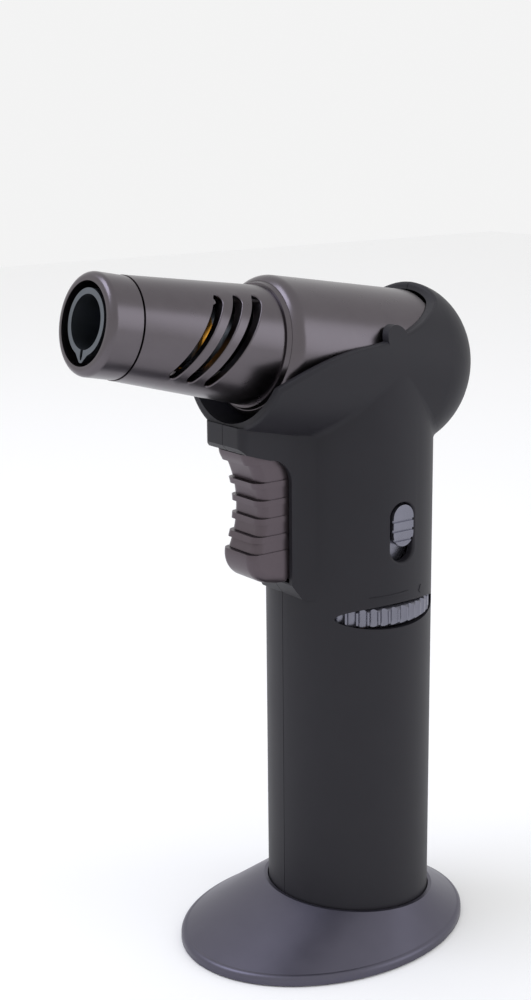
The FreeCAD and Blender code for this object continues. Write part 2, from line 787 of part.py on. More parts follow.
def make_tip():
    body = revolved("nozzle_tip", [
        ("dim.tip_bore", "dim.barrel_front - dim.tip_spigot"),
        ("dim.barrel_front_radius - dim.barrel_wall - dim.running_gap", "dim.barrel_front - dim.tip_spigot"),
        ("dim.barrel_front_radius - dim.barrel_wall - dim.running_gap", "dim.barrel_front + 0.15"),
        ("dim.tip_radius - 0.25", "dim.barrel_front + 0.15"),
        ("dim.tip_radius", "dim.barrel_front + 0.4"),
        ("dim.tip_radius", "dim.tip_front"),
        ("dim.tip_bore", "dim.tip_front"),
    ])
    soften(body, "tip_edge_round", "dim.tip_round", ring_edge(size("tip_radius"), size("tip_front")))
    on_nozzle(body)
    finish(body, "nozzle_tip")


def make_burner():
    tube = nozzle_rod("burner_skin", "dim.burner_rear", "dim.burner_front", "dim.burner_radius",
                      up="dim.burner_rise")
    inner = nozzle_rod("burner_bore", "dim.burner_rear - 1", "dim.burner_front + 1",
                       "dim.burner_radius - dim.burner_wall", up="dim.burner_rise")
    keel = keel_prism()
    channel = nozzle_rod("keel_channel", "dim.keel_rear - 1", "dim.burner_front + 1",
                         "dim.electrode_radius + dim.running_gap", up="-dim.insulator_drop")
    mouth = primitive("Box", "keel_mouth", Length="dim.keel_depth - dim.keel_floor - dim.keel_top",
                      Width="dim.keel_slot", Height="dim.burner_front - dim.keel_rear + 2")
    on_nozzle(mouth, along="dim.keel_rear - 1", up="-dim.keel_depth + dim.keel_floor")
    place(mouth, y="-dim.keel_slot / 2")
    skin = fuse("burner_solid", tube, keel)
    finish(cut("burner_tube", skin, inner, mouth, channel), "burner_tube")


def keel_prism():
    """A V-shaped keel below the burner, drawn across the nozzle and pulled along it."""
    body = doc.addObject("PartDesign::Body", "keel")
    sketch = body_sketch(body, "keel_outline", "XY_Plane", [
        ("-dim.keel_depth", "-dim.keel_tip_half_width"),
        ("-dim.keel_top", "-dim.keel_half_width"),
        ("-dim.keel_top", "dim.keel_half_width"),
        ("-dim.keel_depth", "dim.keel_tip_half_width"),
    ])
    pad = body.newObject("PartDesign::Pad", "keel_pull")
    pad.Profile = sketch
    pad.setExpression("Length", "dim.burner_front - dim.keel_rear")
    doc.recompute()
    on_nozzle(body, along="dim.keel_rear")
    return body


def make_burner_inside():
    nut = nozzle_rod("nut_skin", "dim.nut_rear", "dim.nut_rear + dim.nut_length", "dim.nut_radius",
                     up="dim.burner_rise")
    nut_bore = nozzle_rod("nut_bore", "dim.nut_rear - 1", "dim.nut_rear + dim.nut_length + 1",
                          "dim.burner_radius + dim.running_gap", up="dim.burner_rise")
    notch = nozzle_rod("nut_notch", "dim.nut_rear - 1", "dim.nut_rear + dim.nut_length + 1",
                       "dim.insulator_radius + dim.running_gap", up="-dim.insulator_drop")
    finish(cut("burner_nut", nut, nut_bore, notch), "burner_nut")

    grid = nozzle_rod("grid_skin", "dim.grid_front - dim.grid_thickness", "dim.grid_front",
                      "dim.burner_radius - dim.burner_wall - dim.running_gap", up="dim.burner_rise")
    holes = []
    rings = [(0.0, 1), (2.1, 6), (4.0, 12)]
    for distance, count in rings:
        for i in range(count):
            angle = 2 * math.pi * i / count
            hole = nozzle_rod("grid_hole_%d_%d" % (distance * 10, i),
                              "dim.grid_front - dim.grid_thickness - 1", "dim.grid_front + 1",
                              "dim.grid_hole_radius",
                              up="dim.burner_rise + %.4f" % (distance * math.cos(angle)))
            place(hole, y="%.4f" % (distance * math.sin(angle)))
            holes.append(hole)
    finish(cut("flame_grid", grid, *holes), "flame_grid")

    radius = "dim.burner_radius - dim.burner_wall - dim.running_gap"
    mixer = nozzle_rod("mixer_skin", "dim.mixer_rear", "dim.burner_rear + 4", radius, up="dim.burner_rise")
    mixer_bore = nozzle_rod("mixer_bore", "dim.mixer_rear - 1", "dim.burner_rear + 5",
                            radius + " - dim.mixer_wall", up="dim.burner_rise")
    air = []
    for i, angle in enumerate((0, 90)):
        hole = primitive("Cylinder", "air_hole_%d" % i, Radius="dim.mixer_hole_radius", Height="30")
        start = "dim.burner_rise - 15" if angle == 0 else "dim.burner_rise"
        on_nozzle(hole, along="dim.mixer_hole_place", up=start)
        if angle == 90:
            place(hole, y="15")
            hole.clearExpression("Placement.Rotation.Angle")
            turn(hole, (1, 0, 0), 90)
        else:
            hole.clearExpression("Placement.Rotation.Angle")
            turn(hole, (0, 1, 0), size("nozzle_tilt"))
        air.append(hole)
    finish(cut("mixer_tube", mixer, mixer_bore, *air), "mixer_tube")

    holder = fuse(
        "holder_skin",
        nozzle_rod("holder_core", "-dim.holder_rear", "dim.holder_front",
                   radius + " - dim.mixer_wall - dim.running_gap", up="dim.burner_rise"),
        nozzle_rod("holder_flange", "dim.mixer_rear - 4", "dim.mixer_rear", "dim.holder_hex / 2",
                   up="dim.burner_rise"),
        nozzle_rod("holder_nipple", "-dim.holder_rear - dim.nipple_length", "-dim.holder_rear",
                   "dim.nipple_radius", up="dim.burner_rise"),
    )
    way = nozzle_rod("holder_bore", "-dim.holder_rear - dim.nipple_length - 1", "dim.holder_front + 1",
                     "dim.holder_bore", up="dim.burner_rise")
    finish(cut("jet_holder", holder, way), "jet_holder")

    jet = nozzle_rod("jet_skin", "dim.holder_front", "dim.holder_front + dim.jet_length", "dim.jet_radius",
                     up="dim.burner_rise")
    jet_way = nozzle_rod("jet_bore", "dim.holder_front - 1", "dim.holder_front + dim.jet_length + 1",
                         "dim.jet_bore", up="dim.burner_rise")
    finish(cut("jet", jet, jet_way), "jet")

    plate = nozzle_rod("bracket_skin", "-dim.bracket_rear", "-dim.bracket_rear + dim.bracket_thickness",
                       "dim.collar_front_radius")
    seat = nozzle_rod("bracket_seat", "-dim.bracket_rear - 1",
                      "-dim.bracket_rear + dim.bracket_thickness + 1",
                      radius + " - dim.mixer_wall", up="dim.burner_rise")
    wire_hole = nozzle_rod("bracket_wire_hole", "-dim.bracket_rear - 1",
                           "-dim.bracket_rear + dim.bracket_thickness + 1", "2.2", up="-dim.insulator_drop")
    vents = []
    for i, (rise, side) in enumerate(((7.5, 8.0), (7.5, -8.0), (-4.0, 10.5), (-4.0, -10.5))):
        vent = nozzle_rod("bracket_vent_%d" % i, "-dim.bracket_rear - 1",
                          "-dim.bracket_rear + dim.bracket_thickness + 1", "2.6", up=str(rise))
        place(vent, y=str(side))
        vents.append(vent)
    finish(cut("nozzle_bracket", plate, seat, wire_hole, *vents), "nozzle_bracket")

    ceramic = nozzle_rod("ceramic_skin", "dim.insulator_rear", "dim.insulator_front", "dim.insulator_radius",
                         up="-dim.insulator_drop")
    ceramic_bore = nozzle_rod("ceramic_bore", "dim.insulator_rear - 1", "dim.insulator_front + 1",
                              "dim.electrode_radius + dim.running_gap", up="-dim.insulator_drop")
    finish(cut("electrode_insulator", ceramic, ceramic_bore), "electrode_insulator")
    rod = nozzle_rod("electrode", "dim.insulator_rear", "dim.electrode_front", "dim.electrode_radius",
                     up="-dim.insulator_drop")
    finish(rod, "electrode")


# ---------------------------------------------------------------- trigger and lock
def trigger_profile(name, grow):
    """Side outline of the trigger, made larger all round by grow: brow, waist and chin arcs that
    run smoothly into each other, and an underside that falls towards the grip."""
    slope = "(dim.trigger_slope * 1 deg)"
    heel_x = "(-dim.web_face + 0.5)"
    brow_x = "(-dim.trigger_front + dim.trigger_brow_arc)"
    waist_x = "(-dim.trigger_waist - dim.trigger_waist_arc)"
    chin_x = "(-dim.trigger_chin + dim.trigger_chin_arc)"
    chin_z = ("(dim.trigger_bottom + dim.trigger_chin_arc * cos(%s) + tan(%s) * (%s - %s"
              " + dim.trigger_chin_arc * sin(%s)))" % (slope, slope, heel_x, chin_x, slope))
    low_span = "(dim.trigger_waist_arc + dim.trigger_chin_arc)"
    waist_z = "(%s + sqrt(%s ^ 2 - (%s - %s) ^ 2))" % (chin_z, low_span, chin_x, waist_x)
    high_span = "(dim.trigger_waist_arc + dim.trigger_brow_arc)"
    brow_z = "(%s + sqrt(%s ^ 2 - (%s - %s) ^ 2))" % (waist_z, high_span, brow_x, waist_x)
    waist_arc = "(dim.trigger_waist_arc - (%s))" % grow
    brow_arc = "(dim.trigger_brow_arc + (%s))" % grow
    chin_arc = "(dim.trigger_chin_arc + (%s))" % grow

    def touch(x, z, span):
        share = "%s / %s" % (waist_arc, span)
        return ("%s + (%s - %s) * %s" % (waist_x, x, waist_x, share),
                "%s + (%s - %s) * %s" % (waist_z, z, waist_z, share))

    return side_sketch(name, [
        ("-dim.web_face + 5.8", "dim.trigger_top"),
        ("%s - sqrt(%s ^ 2 - (dim.trigger_top - %s) ^ 2)" % (brow_x, brow_arc, brow_z), "dim.trigger_top",
         brow_arc, 1),
        touch(brow_x, brow_z, high_span) + (waist_arc, -1),
        touch(chin_x, chin_z, low_span) + (chin_arc, 1),
        ("%s - %s * sin(%s)" % (chin_x, chin_arc, slope), "%s - %s * cos(%s)" % (chin_z, chin_arc, slope)),
        (heel_x, "dim.trigger_bottom - (%s) / cos(%s)" % (grow, slope)),
        ("-dim.web_face + 5.8", "dim.trigger_bottom - (%s) / cos(%s)" % (grow, slope)),
    ])


def trigger_skin(name, grow):
    """The trigger's body with its long front corners rounded."""
    width = "dim.trigger_half_width + (%s) * 0.2" % grow
    block = extrude(name + "_block", trigger_profile(name + "_side", grow), (0, 1, 0), width)
    half = number(width)
    ahead = -size("web_face") - 2.0
    heel = -size("web_face") + 0.6

    def corner(edge):
        box = edge.BoundBox
        return (box.YLength < 0.01 and abs(abs(box.YMin) - half) < 0.01 and box.XMin < ahead
                and box.XMax < heel and box.ZLength > 0.3)

    return round_edges(name, block, size("trigger_corner"), corner)


def make_trigger():
    width = "dim.trigger_half_width"
    core = trigger_skin("trigger_core", "0")
    ribbed = trigger_skin("trigger_ribbed", "dim.rib_proud")
    line_core = trigger_skin("trigger_line_core", "-dim.rib_line_depth")
    band_length = "dim.trigger_front + 5 - dim.web_face - 0.4"
    spans = [("dim.trigger_bottom", "dim.heel_height"),
             ("dim.trigger_top - dim.brow_height", "dim.brow_height")]
    for i in range(int(size("rib_count"))):
        spans.append(("dim.rib_lowest + %d * dim.rib_pitch" % i, "dim.rib_height"))
    bands = []
    lines = []
    for i, (low, height) in enumerate(spans):
        bands.append(primitive("Box", "rib_band_%d" % i, x="-dim.trigger_front - 5",
                               y="-2 * dim.trigger_half_width", z=low, Length=band_length,
                               Width="4 * dim.trigger_half_width", Height=height))
        if i != 1:
            lines.append(primitive("Box", "rib_line_%d" % i, x="-dim.trigger_front - 5",
                                   y="-2 * dim.trigger_half_width", z="%s + %s" % (low, height),
                                   Length=band_length + " + 0.6", Width="4 * dim.trigger_half_width",
                                   Height="dim.rib_line"))
    ribs = common("trigger_ribs", ribbed, fuse("rib_bands", *bands))
    grooves = cut("rib_grooves", fuse("rib_lines", *lines), line_core)
    flange = primitive("Box", "trigger_flange", x="-dim.column_radius + dim.shell_wall + 2.2",
                       y="-dim.flange_half_width", z="dim.trigger_bottom - dim.flange_over",
                       Length="dim.flange_thickness", Width="2 * dim.flange_half_width",
                       Height="dim.trigger_top - dim.trigger_bottom + 2 * dim.flange_over")
    neck = primitive("Box", "trigger_neck", x="-dim.web_face + 5.7", y="-" + width, z="dim.trigger_bottom",
                     Length="dim.web_face - dim.column_radius + dim.shell_wall - 3.4",
                     Width="2 * " + width, Height="dim.trigger_top - dim.trigger_bottom")
    finger = primitive("Box", "trigger_finger", x="-dim.column_radius + dim.shell_wall + 3.4",
                       y="-dim.wheel_offset - dim.lever_width / 2",
                       z="dim.lever_pivot_z + dim.lever_arm - 0.7",
                       Length="dim.lever_pivot_x - dim.lever_thickness / 2 - dim.trigger_gap"
                              " + dim.column_radius - dim.shell_wall - 3.4",
                       Width="dim.lever_width", Height="dim.finger_height")
    grooved = cut("trigger_front", fuse("trigger_skin", core, ribs), grooves)
    finish(fuse("trigger", grooved, neck, flange, finger), "trigger")


def make_lock():
    button = stadium("lock_button", "dim.lock_width", "dim.lock_height", "dim.lock_middle",
                     "-dim.column_radius - dim.lock_proud", "dim.lock_plate_depth + dim.lock_proud + 0.3")
    plate = primitive("Box", "lock_plate", x="-dim.lock_plate_width / 2",
                      y="-dim.column_radius + dim.lock_plate_depth",
                      z="dim.lock_slot_middle - dim.lock_slot_height / 2 - dim.lock_plate_over",
                      Length="dim.lock_plate_width", Width="dim.lock_plate_thickness",
                      Height="dim.lock_slot_height + dim.lock_travel + 2 * dim.lock_plate_over")
    lines = []
    for i in (-1, 0, 1):
        lines.append(primitive("Box", "lock_line_%d" % (i + 1), x="-dim.lock_width",
                               y="-dim.column_radius - dim.lock_proud - 1",
                               z="dim.lock_middle - dim.lock_line_drop + %d * dim.lock_line_pitch"
                                 " - dim.lock_line_width / 2" % i,
                               Length="2 * dim.lock_width", Width="1 + dim.lock_line_depth",
                               Height="dim.lock_line_width"))
    finish(cut("lock_slide", fuse("lock_raw", button, plate), *lines), "lock_slide")


# ---------------------------------------------------------------- flame adjuster
def make_wheel():
    body = doc.addObject("PartDesign::Body", "adjuster_wheel")
    half = "dim.wheel_thickness / 2"
    sketch = body_sketch(body, "wheel_outline", "XZ_Plane", [
        ("dim.valve_radius + dim.sleeve_wall", "-" + half),
        ("dim.wheel_hub_radius", "-" + half),
        ("dim.wheel_hub_radius", "-dim.wheel_web / 2"),
        ("dim.wheel_radius - dim.wheel_rim", "-dim.wheel_web / 2"),
        ("dim.wheel_radius - dim.wheel_rim", "-" + half),
        ("dim.wheel_radius - dim.wheel_rim_chamfer * 1.2", "-" + half),
        ("dim.wheel_radius", "-%s + dim.wheel_rim_chamfer" % half),
        ("dim.wheel_radius", "%s - dim.wheel_rim_chamfer" % half),
        ("dim.wheel_radius - dim.wheel_rim_chamfer * 1.2", half),
        ("dim.wheel_radius - dim.wheel_rim", half),
        ("dim.wheel_radius - dim.wheel_rim", "dim.wheel_web / 2"),
        ("dim.wheel_hub_radius", "dim.wheel_web / 2"),
        ("dim.wheel_hub_radius", half),
        ("dim.valve_radius + dim.sleeve_wall", half),
    ])
    spin = body.newObject("PartDesign::Revolution", "wheel_turn")
    spin.Profile = sketch
    spin.ReferenceAxis = (sketch, ["V_Axis"])
    spin.Angle = 360
    doc.recompute()
    flute = body.newObject("Sketcher::SketchObject", "flute_outline")
    flute.AttachmentSupport = [(origin_plane(body, "XY_Plane"), "")]
    flute.MapMode = "FlatFace"
    reach = size("wheel_radius") + size("flute_radius") - size("flute_depth")
    middle = FreeCAD.Vector(0, -reach, 0)
    flute.addGeometry(Part.Circle(middle, FreeCAD.Vector(0, 0, 1), size("flute_radius")))
    flute.addConstraint(Sketcher.Constraint("PointOnObject", 0, 3, -2))
    spot = flute.addConstraint(Sketcher.Constraint("DistanceY", 0, 3, -reach))
    flute.setExpression("Constraints[%d]" % spot, "-dim.wheel_radius - dim.flute_radius + dim.flute_depth")
    width = flute.addConstraint(Sketcher.Constraint("Radius", 0, size("flute_radius")))
    flute.setExpression("Constraints[%d]" % width, "dim.flute_radius")
    pocket = body.newObject("PartDesign::Pocket", "flute")
    pocket.Profile = flute
    pocket.Type = "ThroughAll"
    pocket.Midplane = True
    doc.recompute()
    pattern = body.newObject("PartDesign::PolarPattern", "flutes")
    pattern.Originals = [pocket]
    pattern.Axis = (origin_axis(body, "Z_Axis"), [""])
    pattern.Angle = 360
    pattern.setExpression("Occurrences", "dim.wheel_flutes")
    body.Tip = pattern
    doc.recompute()
    place(body, y="-dim.wheel_offset", z="dim.wheel_middle")
    finish(body, "adjuster_wheel")

    sleeve = valve_rod("sleeve_skin", "dim.wheel_middle - %s" % half, "dim.wheel_middle + %s" % half,
                       "dim.valve_radius + dim.sleeve_wall")
    bore = valve_rod("sleeve_bore", "dim.wheel_middle - dim.wheel_thickness",
                     "dim.wheel_middle + dim.wheel_thickness", "dim.valve_radius + dim.running_gap")
    finish(cut("adjuster_sleeve", sleeve, bore), "adjuster_sleeve")


def origin_axis(body, role):
    return next(f for f in body.Origin.OriginFeatures if f.Role == role)


def valve_rod(name, low, high, radius):
    """A cylinder on the valve's axis, which is also the wheel's."""
    return primitive("Cylinder", name, y="-dim.wheel_offset", z=low, Radius=radius,
                     Height="(%s) - (%s)" % (high, low))


# ---------------------------------------------------------------- gas tank and valves
def make_tank():
    radius = "dim.column_radius - dim.shell_wall - dim.tank_gap"
    skin = primitive("Cylinder", "tank_skin", z="dim.tank_bottom", Radius=radius,
                     Height="dim.tank_top - dim.tank_bottom")
    room = primitive("Cylinder", "tank_room", z="dim.tank_bottom + dim.tank_wall",
                     Radius=radius + " - dim.tank_wall", Height="dim.tank_top - dim.tank_bottom")
    fill_bore = fill_rod("tank_fill_bore", "dim.tank_bottom - 1", "dim.tank_bottom + dim.tank_wall + 1",
                         "dim.fill_radius - 0.8 + dim.running_gap")
    finish(cut("gas_tank", skin, room, fill_bore), "gas_tank")

    cover = primitive("Cylinder", "lid_cover", z="dim.tank_top", Radius=radius, Height="dim.lid_thickness")
    skirt = primitive("Cylinder", "lid_skirt", z="dim.tank_top - dim.lid_skirt",
                      Radius=radius + " - dim.tank_wall - dim.running_gap", Height="dim.lid_skirt")
    hollow = primitive("Cylinder", "lid_hollow", z="dim.tank_top - dim.lid_skirt - 1",
                       Radius=radius + " - 2 * dim.tank_wall", Height="dim.lid_skirt + 1")
    seat_wall = valve_rod("lid_seat", "dim.tank_top - dim.lid_skirt", "dim.tank_top + 1",
                          "dim.valve_radius + 2")
    seat_bore = valve_rod("lid_bore", "dim.tank_top - dim.lid_skirt - 2",
                          "dim.tank_top + dim.lid_thickness + 1",
                          "dim.valve_radius - 0.5")
    lid = fuse("lid_raw", cut("lid_cup", fuse("lid_solid", cover, skirt), hollow), seat_wall)
    finish(cut("tank_lid", lid, seat_bore), "tank_lid")


def fill_rod(name, low, high, radius):
    return primitive("Cylinder", name, x="dim.fill_offset", z=low, Radius=radius,
                     Height="(%s) - (%s)" % (high, low))


def make_valves():
    lid_top = "(dim.tank_top + dim.lid_thickness)"
    lower = valve_rod("valve_thread", "dim.tank_top - dim.lid_skirt", lid_top, "dim.valve_radius - 0.5")
    collar = valve_rod("valve_collar", lid_top + " + dim.seal_section", lid_top + " + dim.seal_section + 1.2",
                       "dim.valve_radius + 1.2")
    upper = valve_rod("valve_upper", lid_top, "dim.valve_top", "dim.valve_radius")
    nipple = primitive("Cylinder", "valve_nipple", y="-dim.wheel_offset", z="dim.nipple_height",
                       Radius="dim.nipple_radius", Height="dim.valve_radius + dim.nipple_length")
    turn(nipple, (0, 1, 0), 90)
    raw = fuse("valve_raw", lower, collar, upper, nipple)
    bore = valve_rod("valve_bore", "dim.tank_top - dim.lid_skirt - 1", "dim.valve_top + 1",
                     "dim.stem_radius + dim.running_gap")
    seal_room = valve_rod("valve_seal_room", lid_top + " - 0.01", lid_top + " + dim.seal_section",
                          "dim.valve_radius + 0.01")
    neck = valve_rod("valve_neck", lid_top + " - 1", lid_top + " + dim.seal_section + 0.5",
                     "dim.valve_radius - 0.5")
    finish(cut("valve_body", fuse("valve_solid", cut("valve_grooved", raw, seal_room), neck), bore),
           "valve_body")

    seal = valve_rod("seal_skin", lid_top, lid_top + " + dim.seal_section", "dim.valve_radius + 1")
    seal_bore = valve_rod("seal_bore", lid_top + " - 1", lid_top + " + 2", "dim.valve_radius - 0.5")
    finish(cut("valve_seal", seal, seal_bore), "valve_seal")

    head_low = "dim.lever_pivot_z + dim.lever_thickness / 2 + 0.3"
    shaft = valve_rod("stem_shaft", head_low + " - dim.stem_length", head_low + " + 0.5", "dim.stem_radius")
    head = valve_rod("stem_head", head_low, head_low + " + 1.2", "dim.stem_head_radius")
    finish(fuse("valve_stem", shaft, head), "valve_stem")

    body = fill_rod("fill_skin", "dim.tank_bottom - 6", "dim.tank_bottom - 6 + dim.fill_length",
                    "dim.fill_radius - 0.8")
    nut = fill_rod("fill_nut", "dim.tank_bottom - 3 - dim.seal_section", "dim.tank_bottom - dim.seal_section",
                   "dim.fill_radius + 0.6")
    way = fill_rod("fill_way", "dim.tank_bottom - 7", "dim.tank_bottom + dim.fill_length",
                   "dim.fill_stem_radius + dim.running_gap")
    finish(cut("fill_valve", fuse("fill_raw", body, nut), way), "fill_valve")
    seal = fill_rod("fill_seal_skin", "dim.tank_bottom - dim.seal_section", "dim.tank_bottom",
                    "dim.fill_radius + 0.4")
    seal_bore = fill_rod("fill_seal_bore", "dim.tank_bottom - 2", "dim.tank_bottom + 1",
                         "dim.fill_radius - 0.8")
    finish(cut("fill_seal", seal, seal_bore), "fill_seal")
    stem = fill_rod("fill_stem_skin", "dim.tank_bottom - 8.5", "dim.tank_bottom + 3", "dim.fill_stem_radius")
    stem_way = fill_rod("fill_stem_way", "dim.tank_bottom - 9", "dim.tank_bottom + 1", "0.5")
    finish(cut("fill_stem", stem, stem_way), "fill_stem")


# ---------------------------------------------------------------- foot
def foot_ring(name, inset, height):
    edge = primitive("Ellipse", name, MajorRadius="dim.foot_half_length - (%s)" % inset,
                     MinorRadius="dim.foot_half_width - (%s)" % inset, x="-dim.foot_shift", z=height)
    return edge


def collar_ring(name, radius, drop):
    """The foot's upper rim, a circle round the grip that dips towards the back."""
    edge = primitive("Ellipse", name, MajorRadius=radius, MinorRadius=radius,
                     z="dim.foot_collar_height - (%s)" % drop)
    turn(edge, (0, 1, 0), size("foot_collar_slope"))
    edge.setExpression("Placement.Rotation.Angle", "dim.foot_collar_slope * 1 deg")
    return edge


def ramp(name, low_inset, low_height, top_radius, drop):
    item = doc.addObject("Part::Loft", name)
    low_ring = foot_ring(name + "_low", low_inset, low_height)
    item.Sections = [low_ring, collar_ring(name + "_top", top_radius, drop)]
    item.Solid = True
    item.Ruled = True
    return item


def make_foot():
    base = extrude_up("foot_base", foot_ring("foot_edge", "0", "dim.foot_rim_lift"), "dim.foot_edge")
    doc.recompute()
    base_top = size("foot_rim_lift") + size("foot_edge")
    rounded = round_edges("foot_rounded", base, size("foot_edge_round"),
                          lambda e: e.BoundBox.ZMin > base_top - 0.1)
    slope = ramp("foot_ramp", "dim.foot_edge_round * 0.6", "dim.foot_edge + dim.foot_rim_lift - 0.25",
                 "dim.column_radius + dim.foot_collar_gap + 0.9", "0")
    inner = ramp("foot_inner", "dim.foot_wall + 1.2", "dim.pad_thickness + 0.6",
                 "dim.column_radius + 1.5 + dim.foot_wall", "dim.foot_wall + 0.6")
    inner_low = extrude_up("foot_inner_low", foot_ring("foot_inner_edge", "dim.foot_wall + 1.2", "-1"),
                           "dim.pad_thickness + 1.62")
    cup = primitive("Cylinder", "foot_cup", Radius="dim.column_radius + 2", z="dim.pad_thickness",
                    Height="5")
    socket = primitive("Cylinder", "foot_socket", Radius="dim.column_radius + dim.foot_collar_gap",
                       z="dim.column_bottom", Height="30")
    port = fill_rod("fill_port", "-1", "10", "dim.port_radius")
    pad_room = extrude_up("pad_room", foot_ring("pad_room_edge", "dim.pad_inset - 0.2", "-1"),
                          "dim.pad_thickness + 1")
    tools = [socket, port, pad_room]
    for angle in foot_screw_spots():
        tools.append(primitive("Cylinder", "foot_hole_%d" % angle, z="0", Height="10",
                               Radius="dim.screw_radius + 0.2",
                               x="dim.foot_screw_circle * cos(%d deg)" % angle,
                               y="dim.foot_screw_circle * sin(%d deg)" % angle))
    skin = cut("foot_hollow", fuse("foot_solid", rounded, slope), inner, inner_low)
    finish(cut("foot", fuse("foot_raw", skin, cup), *tools), "foot")

    sheet_pad = extrude_up("pad_skin", foot_ring("pad_edge", "dim.pad_inset", "0"), "dim.pad_thickness")
    holes = [fill_rod("pad_port", "-1", "10", "dim.port_radius + 0.5")]
    screws = []
    for angle in foot_screw_spots():
        x = "dim.foot_screw_circle * cos(%d deg)" % angle
        y = "dim.foot_screw_circle * sin(%d deg)" % angle
        holes.append(primitive("Cylinder", "pad_hole_%d" % angle, z="-1", Height="10", x=x, y=y,
                               Radius="dim.screw_head_radius + 0.3"))
        screws.append(primitive("Cylinder", "foot_screw_head_%d" % angle, x=x, y=y,
                                z="dim.pad_thickness - dim.screw_head_height + 0.4",
                                Height="dim.screw_head_height - 0.4", Radius="dim.screw_head_radius"))
        screws.append(primitive("Cylinder", "foot_screw_shank_%d" % angle, x=x, y=y,
                                z="dim.pad_thickness - 0.2", Height="dim.foot_screw_length",
                                Radius="dim.screw_radius - 0.1"))
    finish(cut("foot_pad", sheet_pad, *holes), "foot_pad")
    finish(fuse("foot_screws", *screws), "foot_screws")


def extrude_up(name, base, height):
    item = doc.addObject("Part::Extrusion", name)
    item.Base = base
    item.DirMode = "Custom"
    item.Dir = FreeCAD.Vector(0, 0, 1)
    item.Solid = True
    item.setExpression("LengthFwd", height)
    return item


# ---------------------------------------------------------------- igniter and lever
def make_igniter():
    front = "dim.piezo_front - 5.5"
    block = primitive("Box", "piezo_skin", x=front, y="dim.piezo_offset - dim.piezo_width / 2",
                      z="dim.piezo_bottom", Length="dim.piezo_length", Width="dim.piezo_width",
                      Height="dim.piezo_height")
    room = primitive("Box", "piezo_room", x=front + " - 1",
                     y="dim.piezo_offset - dim.piezo_width / 2 + dim.piezo_wall",
                     z="dim.piezo_bottom + dim.piezo_wall", Length="dim.piezo_length - 4",
                     Width="dim.piezo_width - 2 * dim.piezo_wall",
                     Height="dim.piezo_height - 2 * dim.piezo_wall")
    finish(cut("piezo_body", block, room), "piezo_body")
    rear_face = "(-dim.column_radius + dim.shell_wall + 2.2 + dim.flange_thickness)"
    plunger = primitive("Box", "piezo_plunger", x=rear_face,
                        y="dim.piezo_offset - dim.piezo_width / 2 + dim.piezo_wall + dim.running_gap",
                        z="dim.piezo_bottom + dim.piezo_wall + dim.running_gap",
                        Length="%s - %s + dim.plunger_inside" % (front, rear_face),
                        Width="dim.piezo_width - 2 * dim.piezo_wall - 2 * dim.running_gap",
                        Height="dim.piezo_height - 2 * dim.piezo_wall - 2 * dim.running_gap")
    finish(plunger, "piezo_plunger")


def make_lever():
    y = "-dim.wheel_offset - dim.lever_width / 2"
    eye = primitive("Cylinder", "lever_eye", x="dim.lever_pivot_x", y=y, z="dim.lever_pivot_z",
                    Radius="dim.lever_eye_radius", Height="dim.lever_width")
    turn(eye, (1, 0, 0), -90)
    arm = primitive("Box", "lever_upright", x="dim.lever_pivot_x - dim.lever_thickness / 2", y=y,
                    z="dim.lever_pivot_z", Length="dim.lever_thickness", Width="dim.lever_width",
                    Height="dim.lever_arm + 2")
    fork = primitive("Box", "lever_fork", x="-dim.fork_reach", y="-dim.wheel_offset - dim.fork_slot - 1.2",
                     z="dim.lever_pivot_z - dim.lever_thickness / 2",
                     Length="dim.lever_pivot_x + dim.fork_reach", Width="2 * dim.fork_slot + 2.4",
                     Height="dim.lever_thickness")
    mouth = primitive("Box", "fork_mouth", x="-dim.fork_reach - 1", y="-dim.wheel_offset - dim.fork_slot",
                      z="dim.lever_pivot_z - 2", Length="dim.fork_reach + 2.7", Width="2 * dim.fork_slot",
                      Height="4")
    hole = primitive("Cylinder", "lever_hole", x="dim.lever_pivot_x", y="-dim.wheel_offset - 6",
                     z="dim.lever_pivot_z", Radius="dim.lever_pin_radius + dim.running_gap", Height="12")
    turn(hole, (1, 0, 0), -90)
    finish(cut("gas_lever", fuse("lever_raw", eye, arm, fork), mouth, hole), "gas_lever")

    pin = primitive("Cylinder", "lever_pin", x="dim.lever_pivot_x", y=y + " - 2.2", z="dim.lever_pivot_z",
                    Radius="dim.lever_pin_radius", Height="dim.lever_width + 8")
    turn(pin, (1, 0, 0), -90)
    finish(pin, "lever_pin")

    block = primitive("Box", "carrier_block", x="-1", y="1", z="dim.carrier_bottom", Length="13.5",
                      Width="6.5", Height="dim.piezo_bottom - dim.carrier_bottom")
    hollow = primitive("Box", "carrier_hollow", x="0.6", y="2.6", z="dim.carrier_bottom - 1",
                       Length="4.2", Width="6", Height="dim.piezo_bottom - dim.carrier_bottom - 2")
    pin_hole = primitive("Cylinder", "carrier_pin_hole", x="dim.lever_pivot_x", y="0", z="dim.lever_pivot_z",
                         Radius="dim.lever_pin_radius", Height="4.5")
    turn(pin_hole, (1, 0, 0), -90)
    boss_hole = across("carrier_boss_hole", CASE_SCREWS[0], "-5", "12", "dim.case_boss_radius + 0.1")
    finish(cut("igniter_carrier", block, boss_hole, pin_hole), "igniter_carrier")


